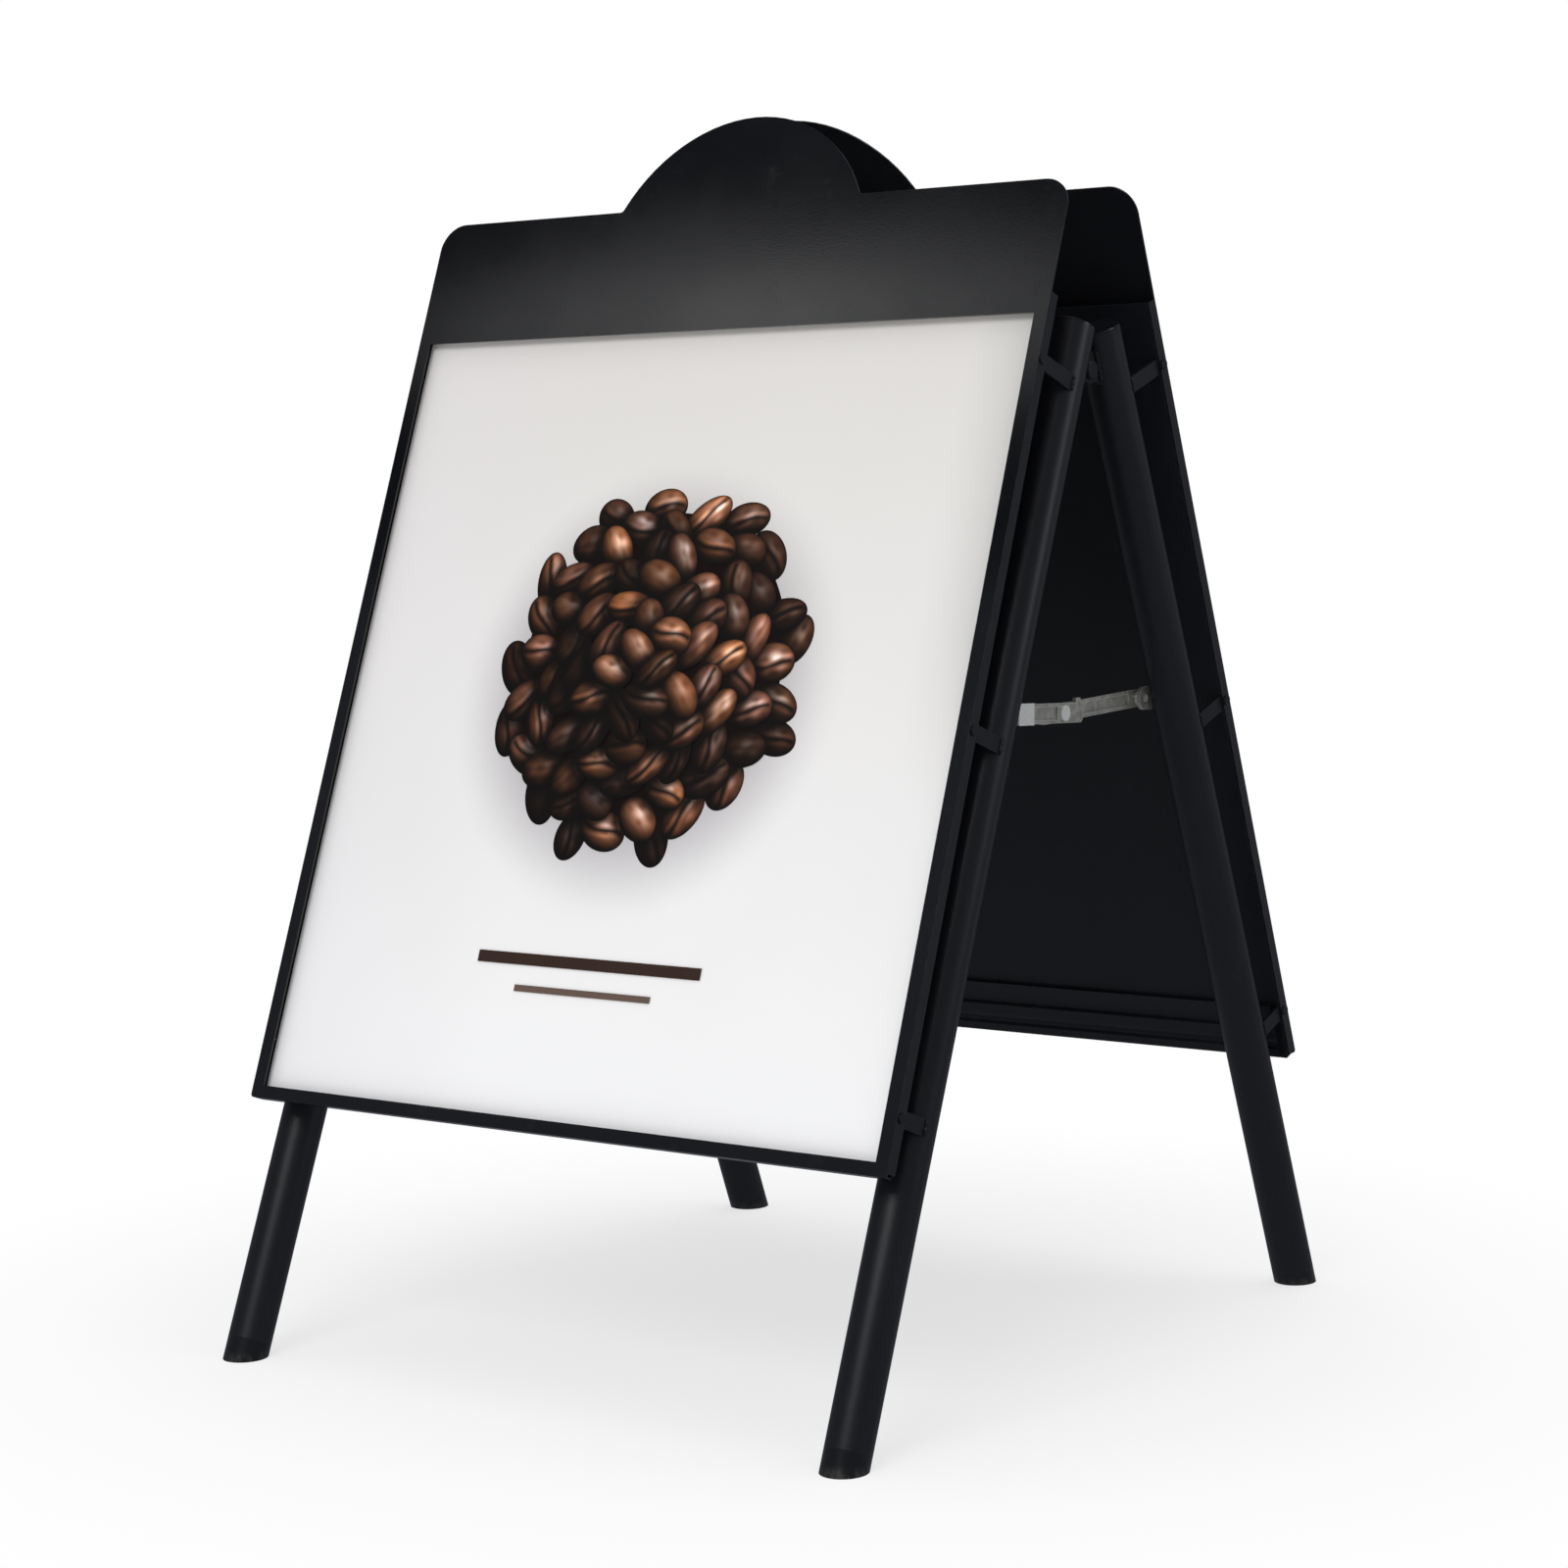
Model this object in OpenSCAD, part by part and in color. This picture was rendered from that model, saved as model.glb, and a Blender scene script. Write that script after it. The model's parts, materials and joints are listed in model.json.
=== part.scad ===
// Folding sandwich board: two tube-legged frames hinged at their tops, each
// carrying a formed steel tray with a domed header and a slide-in sheet.
// Origin on the ground midway between the four feet. +Z up, front is -Y.

/* [Overall] */
// Width of each panel
panel_w = 600; // [520:10:700]
// Distance between front and rear foot centres on the ground
foot_spread = 655; // [625:5:685]
// Lean of the legs from vertical, degrees
leg_lean = 21.7; // [20.9:0.1:22.4]

/* [Legs] */
// Outside diameter of the leg tube
tube_d = 34; // [30:1:36]
// Wall thickness of the leg tube
tube_wall = 1.5; // [1:0.1:2.5]
// Length of the leg measured along its axis from the ground
leg_len = 836; // [820:2:842]
// Height along the leg of the moulded foot
foot_h = 14; // [12:1:24]

/* [Panel] */
// Height of the panel without its dome
panel_h = 731; // [700:5:760]
// Distance along the leg from the ground to the panel's bottom edge
panel_low = 195; // [180:5:215]
// Stand-off of the panel face from the leg axis at the panel's foot
panel_off = 45; // [42:1:52]
// Extra outward tilt of the panel against its legs, degrees
panel_tilt = 1.4; // [0:0.1:2]
// Sheet thickness of the front plate
sheet_t = 1.5; // [1:0.1:2]
// Depth of the tray
tray_d = 10; // [9:0.5:14]
// Width of the side lips
lip_side = 11; // [9:0.5:20]
// Height of the bottom lip
lip_bottom = 10; // [8:0.5:20]
// Height of the header above the window
header_h = 104; // [80:2:130]
// Half of the dome's width at the header's top edge
dome_half_w = 114; // [90:2:140]
// Height of the dome above the header
dome_h = 72; // [50:2:85]
// Radius of the header's upper corners
corner_r = 22; // [8:1:30]

/* [Sheet insert] */
// Thickness of the slide-in sheet
insert_t = 1; // [0.5:0.1:1.5]

/* [Fold hinge] */
// Distance from the leg axis to the fold axis
pivot_gap = 28.2; // [27.6:0.1:30]
// Diameter of the hinge bolt
bolt_d = 8; // [6:0.5:10]
// Running clearance on the radius of every pivot
run_gap = 0.05; // [0.03:0.01:0.09]

/* [Folding stays] */
// Height of the stay's end pivots above the ground
stay_z = 498; // [480:2:520]
// Distance of the stay's end pivots from the fold plane
stay_y = 115; // [112:1:117]
// Sag of the middle knuckle below the end pivots
stay_sag = 4.5; // [3:0.5:6]
// Height of the front stay bar
bar_front_h = 15; // [12:0.5:18]
// Height of the rear stay bar
bar_rear_h = 13.5; // [11:0.5:16]

/* [Hidden] */
$fn = 96;
eps = 0.01;
half_w = panel_w / 2;
tube_r = tube_d / 2;
bore_r = tube_r - tube_wall;
leg_x = half_w - tube_r;
leg_y = foot_spread / 2;
slip = 0.05;
far = 900;
over = 1;

// Foot and cap
plug_r = bore_r - slip;
foot_plug_l = 22;
cap_h = 2.4;
cap_plug_l = 16;
cap_edge = 0.8;

// Tray
wall_rise = 16;
wall_top = panel_h - header_h + wall_rise;
back_t = 1.2;
back_gap = 0.05;
bottom_corner_r = 3;
fillet_r = 4;
dome_r = (dome_half_w * dome_half_w + dome_h * dome_h) / (2 * dome_h);
dome_cz = panel_h + dome_h - dome_r;
fillet_x = sqrt(pow(dome_r + fillet_r, 2) - pow(panel_h + fillet_r - dome_cz, 2));
fillet_u = dome_r / (dome_r + fillet_r);

// Insert sheet
insert_side_gap = 5.5;
insert_gap = 0.1;
insert_foot_gap = 0.5;
insert_tuck = 9;
insert_low = sheet_t + insert_foot_gap;
insert_high = panel_h - header_h + insert_tuck;

// Straps between tray and legs
strap_at = [42, 317, 593];
strap_h = 12;
strap_t = 2.5;
strap_front = 2;
strap_gap = 0.2;
strap_x = half_w - sheet_t - strap_gap - strap_t;
notch_gap = 0.3;
notch_w = 10;
strap_end = 5;

// Strap rivets
rivet_r = 2;
rivet_hole = 2.05;
rivet_y = 5.4;
rivet_head_r = 4;
rivet_head_h = 1.2;
rivet_tail_r = 2.8;
rivet_tail_h = 1.3;

// Bottom rail, with its section as [stand-out, height] pairs
rail_inset = 8;
rail_half_w = half_w - rail_inset;
rail_section = [
  [0, 50], [3.6, 49], [1.4, 33], [1.4, 30], [4.4, 28.5], [4.4, 19],
  [1.4, 13], [1.4, 11], [3.6, 9], [3.6, 3.2], [0, 3.2]
];

// Fold hinge
pivot_z = (leg_y * cos(leg_lean) - pivot_gap) / sin(leg_lean);
pivot_s = leg_y * sin(leg_lean) + pivot_z * cos(leg_lean);
bolt_r = bolt_d / 2;
lug_t = 4;
lug_r = 10;
lug_root = 13;
lug_heel = 19;
lug_bite = 5;
lug_shoulder = 2;
lug_ease = 0.2;
lug_side_gap = 0.3;
bolt_head_r = 7;
bolt_head_h = 3;
bolt_head_edge = 0.8;
nut_r = 7;
nut_sides = 6;
nut_h = 5;
nut_gap = 0.2;
bolt_tip = 1.2;

// Stays
plate_t = 3;
plate_bite = 0.2;
plate_x = leg_x - tube_r + plate_bite - plate_t;
plane_gap = 0.5;
bar_t = 3;
bar_front_x = plate_x - plane_gap - bar_t;
bar_rear_x = bar_front_x - plane_gap - bar_t;
bracket_h = 18;
bracket_bite = 2;
stud_r = 3;
stud_head_r = 6;
stud_head_h = 2;
stud_gap_front = 0.2;
stud_gap_rear = 0.1;
shoulder_r = 5;
knuckle_gap = 0.15;
knuckle_inset = 0.1;
knuckle_head_h = 1.5;
bar_tail = 27;
bar_tail_r = 4;
pocket_rim = 2.4;
pocket_d = 1.2;
pocket_start = 14;
pocket_end = 3;
stop_w = 6;
stop_h = 3.5;
clip_start = 50;
clip_w = 21;
clip_t = 1.2;
clip_over = 0.6;
stay_fall = atan(stay_sag / stay_y);
stay_l = sqrt(stay_y * stay_y + stay_sag * stay_sag);
leg_y_at_stay = leg_y - stay_z * tan(leg_lean);

// Colours
c_paint = [0.055, 0.055, 0.06];
c_tube = [0.06, 0.06, 0.065];
c_plastic = [0.04, 0.04, 0.045];
c_inner = [0.07, 0.07, 0.075];
c_zinc = [0.62, 0.63, 0.64];
c_bright = [0.78, 0.8, 0.82];
c_sheet = [0.9, 0.9, 0.88];

// ---- placement ----

// Front leg frame: X across, Z up the leg, -Y outwards from the leg axis
module on_leg() {
  translate([0, -leg_y, 0])
    rotate([-leg_lean, 0, 0])
      children();
}

// Panel frame: X across, Z up the panel, Y into the tray from its face
module on_panel() {
  on_leg()
    translate([0, -panel_off, panel_low])
      rotate([panel_tilt, 0, 0])
        children();
}

module at_end(end) {
  if (end == "rear") {
    mirror([0, 1, 0])
      children();
  } else {
    children();
  }
}

module at_side(side) {
  if (side == "left") {
    mirror([1, 0, 0])
      children();
  } else {
    children();
  }
}

// Cylinder whose axis runs along +X from x0
module x_cyl(x0, len, r) {
  translate([x0, 0, 0])
    rotate([0, 90, 0])
      cylinder(h = len, r = r);
}

// ---- legs ----

module leg(end, side) {
  color(c_tube)
    at_end(end) at_side(side) on_leg()
      translate([leg_x, 0, foot_h])
        difference() {
          cylinder(h = leg_len - foot_h, r = tube_r);
          translate([0, 0, -over])
            cylinder(h = leg_len, r = bore_r);
        }
}

// Moulded foot with its sole cut level with the ground
module foot(end, side) {
  color(c_plastic)
    at_end(end) at_side(side)
      union() {
        intersection() {
          on_leg()
            translate([leg_x, 0, -tube_d])
              cylinder(h = tube_d + foot_h, r = tube_r);
          translate([0, -leg_y - tube_d * 2, 0])
            cube([panel_w, tube_d * 4, tube_d * 2]);
        }
        on_leg()
          translate([leg_x, 0, foot_h - over])
            cylinder(h = foot_plug_l, r = plug_r);
      }
}

module cap(end, side) {
  color(c_plastic)
    at_end(end) at_side(side) on_leg()
      translate([leg_x, 0, leg_len])
        rotate_extrude()
          polygon([
            [0, -cap_plug_l],
            [plug_r, -cap_plug_l],
            [plug_r, 0],
            [tube_r, 0],
            [tube_r, cap_h - cap_edge],
            [tube_r - cap_edge, cap_h],
            [0, cap_h]
          ]);
}

// ---- tray ----

// What is cut away to round an outside corner of radius r at the origin
module corner_cut(r) {
  difference() {
    translate([-over, -over])
      square(r + over);
    translate([r, r])
      circle(r);
  }
}

module dome_fillet() {
  difference() {
    polygon([
      [0, dome_cz],
      [fillet_x * fillet_u, dome_cz + (panel_h + fillet_r - dome_cz) * fillet_u],
      [fillet_x, panel_h],
      [fillet_x, panel_h - fillet_r]
    ]);
    translate([fillet_x, panel_h + fillet_r])
      circle(fillet_r);
  }
}

// Outline of the front plate with its dome and window
module bezel_outline() {
  difference() {
    union() {
      translate([-half_w, 0])
        square([panel_w, panel_h]);
      translate([0, dome_cz])
        circle(dome_r);
      dome_fillet();
      mirror([1, 0])
        dome_fillet();
    }
    translate([-half_w + lip_side, lip_bottom])
      square([panel_w - 2 * lip_side, panel_h - header_h - lip_bottom]);
    for (m = [0, 1])
      mirror([m, 0]) {
        translate([half_w, panel_h])
          rotate([0, 0, 180])
            corner_cut(corner_r);
        translate([half_w, 0])
          mirror([1, 0])
            corner_cut(bottom_corner_r);
      }
  }
}

module strap_holes() {
  for (s = strap_at)
    for (m = [0, 1])
      mirror([m, 0, 0])
        translate([0, rivet_y, s])
          x_cyl(half_w - sheet_t - over, sheet_t + 2 * over, rivet_hole);
}

module bezel(end) {
  color(c_paint)
    at_end(end) on_panel()
      difference() {
        union() {
          translate([0, sheet_t, 0])
            rotate([90, 0, 0])
              linear_extrude(sheet_t)
                bezel_outline();
          for (m = [0, 1])
            mirror([m, 0, 0])
              translate([half_w - sheet_t, sheet_t - eps, bottom_corner_r])
                cube([sheet_t, tray_d - sheet_t + eps, wall_top - bottom_corner_r]);
          translate([-half_w + bottom_corner_r, sheet_t - eps, 0])
            cube([panel_w - 2 * bottom_corner_r, tray_d - sheet_t + eps, sheet_t]);
        }
        strap_holes();
      }
}

module back_plate(end) {
  inside = half_w - sheet_t - back_gap;
  color(c_inner)
    at_end(end) on_panel()
      translate([0, tray_d - back_t, 0])
        difference() {
          translate([-inside, 0, sheet_t + back_gap])
            cube([2 * inside, back_t, wall_top - sheet_t - back_gap]);
          for (s = strap_at)
            for (m = [0, 1])
              mirror([m, 0, 0])
                translate([strap_x - notch_gap, -over, s - strap_h / 2 - notch_gap])
                  cube([notch_w, back_t + 2 * over, strap_h + 2 * notch_gap]);
        }
}

// Pressed stiffening rail across the foot of the back plate
module bottom_rail(end) {
  color(c_inner)
    at_end(end) on_panel()
      translate([-rail_half_w, tray_d, 0])
        rotate([90, 0, 90])
          linear_extrude(2 * rail_half_w)
            polygon(rail_section);
}

module insert_sheet(end) {
  color(c_sheet)
    at_end(end) on_panel()
      translate([
        -half_w + sheet_t + insert_side_gap,
        tray_d - back_t - insert_gap - insert_t,
        insert_low
      ])
        cube([
          panel_w - 2 * (sheet_t + insert_side_gap),
          insert_t,
          insert_high - insert_low
        ]);
}

// Flat straps, riveted inside the tray walls and welded to the leg
module straps(end, side) {
  color(c_paint)
    at_end(end) at_side(side)
      difference() {
        on_panel()
          for (s = strap_at)
            difference() {
              translate([strap_x, strap_front, s - strap_h / 2])
                cube([
                  strap_t,
                  panel_off + s * sin(panel_tilt) - strap_end - strap_front,
                  strap_h
                ]);
              translate([0, rivet_y, s])
                x_cyl(strap_x - over, strap_t + 2 * over, rivet_hole);
            }
        on_leg()
          translate([leg_x, 0, 0])
            cylinder(h = leg_len, r = tube_r);
      }
}

module rivets(end) {
  color(c_paint)
    at_end(end) on_panel()
      for (s = strap_at)
        for (m = [0, 1])
          mirror([m, 0, 0])
            translate([0, rivet_y, s])
              union() {
                x_cyl(strap_x - rivet_tail_h, rivet_tail_h, rivet_tail_r);
                x_cyl(strap_x - eps, half_w - strap_x + 2 * eps, rivet_r);
                x_cyl(half_w, rivet_head_h, rivet_head_r);
              }
}

// ---- fold hinge ----

// Lug plate from the back of a leg to the fold axis, x0 is its inner face
module lug(end, side) {
  x0 = end == "front" ? leg_x - lug_side_gap - lug_t : leg_x + lug_side_gap;
  hole = end == "front" ? bolt_r + slip : bolt_r + run_gap;
  color(c_paint)
    at_end(end) at_side(side) on_leg()
      difference() {
        union() {
          translate([0, pivot_gap, pivot_s])
            x_cyl(x0, lug_t, lug_r);
          translate([x0, 0, pivot_s])
            rotate([90, 0, 90])
              linear_extrude(lug_t)
                polygon([
                  [tube_r - lug_bite, -lug_heel],
                  [pivot_gap - lug_shoulder, -lug_r + lug_ease],
                  [pivot_gap - lug_shoulder, lug_r - lug_ease],
                  [tube_r - lug_bite, lug_root]
                ]);
        }
        translate([leg_x, 0, 0])
          cylinder(h = far, r = tube_r);
        translate([0, pivot_gap, pivot_s])
          x_cyl(x0 - over, lug_t + 2 * over, hole);
      }
}

module hinge_bolt(side) {
  inner = leg_x - lug_side_gap - lug_t - nut_gap - nut_h - bolt_tip;
  outer = leg_x + 2 * lug_side_gap + lug_t;
  color(c_paint)
    at_side(side)
      translate([inner, 0, pivot_z])
        rotate([0, 90, 0])
          rotate_extrude()
            polygon([
              [0, 0],
              [bolt_r - bolt_head_edge, 0],
              [bolt_r, bolt_head_edge],
              [bolt_r, outer - inner],
              [bolt_head_r, outer - inner],
              [bolt_head_r, outer - inner + bolt_head_h - bolt_head_edge],
              [bolt_head_r - bolt_head_edge, outer - inner + bolt_head_h],
              [0, outer - inner + bolt_head_h]
            ]);
}

module hinge_nut(side) {
  x0 = leg_x - lug_side_gap - lug_t - nut_gap - nut_h;
  color(c_paint)
    at_side(side)
      translate([0, 0, pivot_z])
        difference() {
          translate([x0, 0, 0])
            rotate([0, 90, 0])
              cylinder(h = nut_h, r = nut_r, $fn = nut_sides);
          x_cyl(x0 - over, nut_h + 2 * over, bolt_r + slip);
        }
}

// ---- folding stays ----

// Bracket plate from a leg's inner side to a stay pivot
module bracket(end, side) {
  hole = stud_r + slip;
  color(c_zinc)
    at_end(end) at_side(side)
      difference() {
        union() {
          translate([0, -stay_y, stay_z])
            x_cyl(plate_x, plate_t, bracket_h / 2);
          translate([plate_x, -leg_y_at_stay - bracket_bite, stay_z - bracket_h / 2])
            cube([plate_t, leg_y_at_stay - stay_y + bracket_bite, bracket_h]);
        }
        on_leg()
          translate([leg_x, 0, 0])
            cylinder(h = leg_len, r = tube_r);
        translate([0, -stay_y, stay_z])
          x_cyl(plate_x - over, plate_t + 2 * over, hole);
      }
}

// End pivot: a shouldered stud through bracket and bar
module stud(end, side) {
  bar_x = end == "front" ? bar_front_x : bar_rear_x;
  inner = bar_x - plane_gap / 2;
  outer = plate_x + plate_t - plate_bite;
  step = plate_x - bar_x - bar_t - (end == "front" ? stud_gap_front : stud_gap_rear);
  color(c_bright)
    at_end(end) at_side(side)
      translate([0, -stay_y, stay_z])
        union() {
          x_cyl(inner - stud_head_h, stud_head_h, stud_head_r);
          x_cyl(inner - eps, outer - inner + eps, stud_r);
          x_cyl(plate_x - step, step - slip, shoulder_r);
        }
}

// Pressed bar with a shallow pocket along its outer face; x from 0 to bar_t
module bar_body(h) {
  difference() {
    union() {
      x_cyl(0, bar_t, h / 2);
      translate([0, 0, -h / 2])
        cube([bar_t, stay_l + bar_tail - bar_tail_r, h]);
      translate([0, stay_l + bar_tail - bar_tail_r - eps, -h / 2 + bar_tail_r])
        cube([bar_t, bar_tail_r + eps, h - 2 * bar_tail_r]);
      for (z = [-1, 1])
        translate([0, stay_l + bar_tail - bar_tail_r, z * (h / 2 - bar_tail_r)])
          x_cyl(0, bar_t, bar_tail_r);
    }
    translate([bar_t - pocket_d, pocket_start, -h / 2 + pocket_rim])
      cube([
        pocket_d + over,
        stay_l - pocket_start - stud_head_r - pocket_end,
        h - 2 * pocket_rim
      ]);
    x_cyl(-over, bar_t + 2 * over, stud_r + run_gap);
    translate([0, stay_l, 0])
      x_cyl(-over, bar_t + 2 * over, stud_r + run_gap);
  }
}

// Places children at the stay's end pivot, with +Y along the bar
module on_bar() {
  translate([0, -stay_y, stay_z])
    rotate([-stay_fall, 0, 0])
      children();
}

module front_bar(side) {
  color(c_zinc)
    at_side(side) on_bar()
      translate([bar_front_x, 0, 0])
        union() {
          bar_body(bar_front_h);
          translate([0, stay_l + bar_tail - bar_tail_r - stop_w, bar_front_h / 2 - eps])
            cube([bar_t, stop_w, stop_h + eps]);
        }
}

module rear_bar(side) {
  color(c_zinc)
    mirror([0, 1, 0]) at_side(side) on_bar()
      translate([bar_rear_x, 0, 0])
        bar_body(bar_rear_h);
}

// Outer half of the middle rivet, carried by the front bar
module knuckle_rivet(side) {
  color(c_bright)
    at_side(side) on_bar()
      translate([0, stay_l, 0])
        union() {
          x_cyl(bar_front_x + knuckle_inset, bar_t - knuckle_inset + knuckle_gap + eps, stud_r);
          x_cyl(bar_front_x + bar_t + knuckle_gap, knuckle_head_h, stud_head_r);
        }
}

// Inner half of the middle rivet, carried by the rear bar
module knuckle_tail(side) {
  color(c_bright)
    mirror([0, 1, 0]) at_side(side) on_bar()
      translate([0, stay_l, 0])
        union() {
          x_cyl(bar_rear_x - knuckle_gap - eps, bar_t + knuckle_gap + eps - knuckle_inset, stud_r);
          x_cyl(bar_rear_x - knuckle_gap - stud_head_h, stud_head_h, stud_head_r);
        }
}

// Bright clip plate over the outer face of the front bar
module stay_clip(side) {
  color(c_bright)
    at_side(side) on_bar()
      translate([
        bar_front_x + bar_t + slip,
        clip_start,
        -bar_front_h / 2 - clip_over
      ])
        cube([clip_t, clip_w, bar_front_h + 2 * clip_over]);
}

// ---- assembly ----

leg("front", "right");  // front_leg_right
leg("front", "left");  // front_leg_left
leg("rear", "right");  // rear_leg_right
leg("rear", "left");  // rear_leg_left
foot("front", "right");  // front_foot_right
foot("front", "left");  // front_foot_left
foot("rear", "right");  // rear_foot_right
foot("rear", "left");  // rear_foot_left
cap("front", "right");  // front_cap_right
cap("front", "left");  // front_cap_left
cap("rear", "right");  // rear_cap_right
cap("rear", "left");  // rear_cap_left
bezel("front");  // front_bezel
bezel("rear");  // rear_bezel
back_plate("front");  // front_back_plate
back_plate("rear");  // rear_back_plate
bottom_rail("front");  // front_bottom_rail
bottom_rail("rear");  // rear_bottom_rail
insert_sheet("front");  // front_insert
insert_sheet("rear");  // rear_insert
straps("front", "right");  // front_straps_right
straps("front", "left");  // front_straps_left
straps("rear", "right");  // rear_straps_right
straps("rear", "left");  // rear_straps_left
rivets("front");  // front_rivets
rivets("rear");  // rear_rivets
lug("front", "right");  // front_lug_right
lug("front", "left");  // front_lug_left
lug("rear", "right");  // rear_lug_right
lug("rear", "left");  // rear_lug_left
hinge_bolt("right");  // hinge_bolt_right
hinge_bolt("left");  // hinge_bolt_left
hinge_nut("right");  // hinge_nut_right
hinge_nut("left");  // hinge_nut_left
bracket("front", "right");  // front_bracket_right
bracket("front", "left");  // front_bracket_left
bracket("rear", "right");  // rear_bracket_right
bracket("rear", "left");  // rear_bracket_left
stud("front", "right");  // front_stud_right
stud("front", "left");  // front_stud_left
stud("rear", "right");  // rear_stud_right
stud("rear", "left");  // rear_stud_left
front_bar("right");  // front_bar_right
front_bar("left");  // front_bar_left
rear_bar("right");  // rear_bar_right
rear_bar("left");  // rear_bar_left
knuckle_rivet("right");  // knuckle_rivet_right
knuckle_rivet("left");  // knuckle_rivet_left
knuckle_tail("right");  // knuckle_tail_right
knuckle_tail("left");  // knuckle_tail_left
stay_clip("right");  // stay_clip_right
stay_clip("left");  // stay_clip_left
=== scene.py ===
"""Looks for the folding sandwich board: materials, weld beads, the printed sheets, light and camera.

Lengths are in metres, except in the printed picture, where they are in millimetres (see Sheet).
"""
import json
import math

import bpy
import numpy as np
from mathutils import Matrix, Vector


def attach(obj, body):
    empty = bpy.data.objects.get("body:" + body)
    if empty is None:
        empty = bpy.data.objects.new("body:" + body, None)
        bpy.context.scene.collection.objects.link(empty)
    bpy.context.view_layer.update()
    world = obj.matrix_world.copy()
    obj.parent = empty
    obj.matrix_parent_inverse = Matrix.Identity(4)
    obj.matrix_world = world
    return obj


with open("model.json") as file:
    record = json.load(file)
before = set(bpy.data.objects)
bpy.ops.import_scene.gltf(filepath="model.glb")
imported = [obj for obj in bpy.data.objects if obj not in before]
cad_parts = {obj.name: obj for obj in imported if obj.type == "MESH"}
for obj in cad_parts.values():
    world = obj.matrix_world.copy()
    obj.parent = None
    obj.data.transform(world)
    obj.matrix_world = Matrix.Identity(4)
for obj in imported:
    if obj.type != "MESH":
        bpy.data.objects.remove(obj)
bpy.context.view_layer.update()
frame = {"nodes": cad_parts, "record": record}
NODES = frame["nodes"]
MM = 0.001
BEAD_RNG = np.random.default_rng(20)

# ---------------------------------------------------------------- node helpers


class Graph:
    """A material's node tree with short calls: g.add(kind, inputs..., attributes...)."""

    def __init__(self, name):
        self.mat = bpy.data.materials.new(name)
        self.mat.use_nodes = True
        self.tree = self.mat.node_tree
        self.tree.nodes.clear()
        self.coord = self.add("TexCoord").outputs["Object"]

    def add(self, kind, ins=None, **attrs):
        node = self.tree.nodes.new("ShaderNode" + kind)
        for key, value in attrs.items():
            setattr(node, key, value)
        for key, value in (ins or {}).items():
            socket = node.inputs[key]
            if isinstance(value, bpy.types.NodeSocket):
                self.tree.links.new(value, socket)
            else:
                socket.default_value = value
        return node

    def math(self, op, a, b=0.0):
        return self.add("Math", {0: a, 1: b}, operation=op).outputs[0]

    def remap(self, value, lo, hi, to_lo=0.0, to_hi=1.0, kind="LINEAR"):
        ins = {"Value": value, "From Min": lo, "From Max": hi, "To Min": to_lo, "To Max": to_hi}
        return self.add("MapRange", ins, interpolation_type=kind).outputs["Result"]

    def noise(self, scale, detail=3.0, rough=0.55, stretch=None, seed=0.0):
        vector = self.coord
        if stretch is not None or seed:
            ins = {"Vector": vector, "Scale": stretch or (1, 1, 1), "Location": (seed, seed, seed)}
            vector = self.add("Mapping", ins).outputs[0]
        ins = {"Vector": vector, "Scale": scale, "Detail": detail, "Roughness": rough}
        return self.add("TexNoise", ins).outputs["Fac"]

    def mix(self, factor, a, b, blend="MIX"):
        node = self.add("Mix", {0: factor, 6: a, 7: b}, data_type="RGBA", blend_type=blend)
        return node.outputs[2]

    def along(self, way):
        """How far a point of the piece lies along a direction."""
        ins = {0: self.coord, 1: tuple(way)}
        return self.add("VectorMath", ins, operation="DOT_PRODUCT").outputs["Value"]

    def bump(self, height, distance, strength=1.0, normal=None):
        ins = {"Height": height, "Distance": distance, "Strength": strength}
        if normal is not None:
            ins["Normal"] = normal
        return self.add("Bump", ins).outputs[0]

    def edge(self, radius):
        """1 on worn outer edges and 0 on flat faces."""
        rounded = self.add("Bevel", {"Radius": radius}, samples=4).outputs[0]
        flat = self.add("NewGeometry").outputs["Normal"]
        same = self.add("VectorMath", {0: rounded, 1: flat}, operation="DOT_PRODUCT").outputs["Value"]
        return self.remap(same, 0.995, 0.86, 0.0, 1.0, "SMOOTHSTEP")

    def finish(self, **inputs):
        named = {key.replace("_", " "): value for key, value in inputs.items()}
        shader = self.add("BsdfPrincipled", named)
        self.add("OutputMaterial", {"Surface": shader.outputs[0]})
        self.mat.diffuse_color = (0.1, 0.1, 0.1, 1)
        return self.mat


def rgb(text):
    """Linear colour of an sRGB hex code."""
    parts = [int(text[i:i + 2], 16) / 255 for i in (0, 2, 4)]
    return tuple(c / 12.92 if c <= 0.04045 else ((c + 0.055) / 1.055) ** 2.4 for c in parts) + (1.0,)


# ---------------------------------------------------------------- materials


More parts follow.
